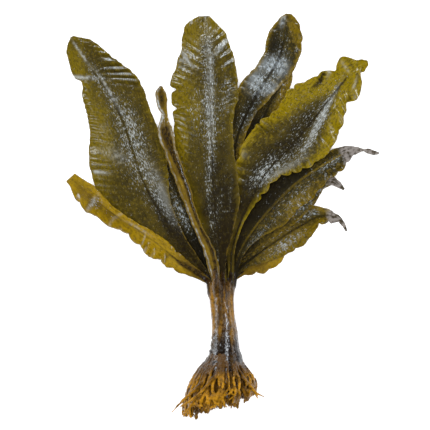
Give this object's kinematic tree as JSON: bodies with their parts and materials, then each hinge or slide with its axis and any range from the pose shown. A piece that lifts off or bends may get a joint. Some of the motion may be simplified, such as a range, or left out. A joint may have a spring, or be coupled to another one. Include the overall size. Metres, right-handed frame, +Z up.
{
  "type": "kelp frond",
  "caption": "Whole kelp plant lying on a surface: a branching holdfast, a short ribbed stipe and a fan of ruffled strap blades.",
  "frame": {"origin": "centre of the plant's bounding box at the surface that it lies on", "axes": "+Y from the holdfast to the blade tips, +X to the right seen from above, +Z up from the surface"},
  "size_m": [0.3138, 0.4024, 0.0618],
  "materials": {
    "lamina_olive": "wet gloss",
    "lamina_golden": "wet gloss",
    "lamina_brown": "wet gloss",
    "stipe": "wet gloss",
    "holdfast": "wet satin"
  },
  "bodies": {
    "root": {"holdfast": "holdfast", "stipe": "stipe", "blade_left_strap": "lamina_golden", "blade_left_large": "lamina_olive", "blade_left_inner": "lamina_brown", "blade_rolled": "lamina_golden", "blade_centre": "lamina_olive", "blade_upper_right": "lamina_brown", "blade_behind_upper": "lamina_brown", "blade_right_large": "lamina_olive", "blade_right_long": "lamina_brown", "blade_right_short": "lamina_brown", "blade_lower_right": "lamina_brown", "blade_lower_under": "lamina_golden"}
  },
  "joints": []
}
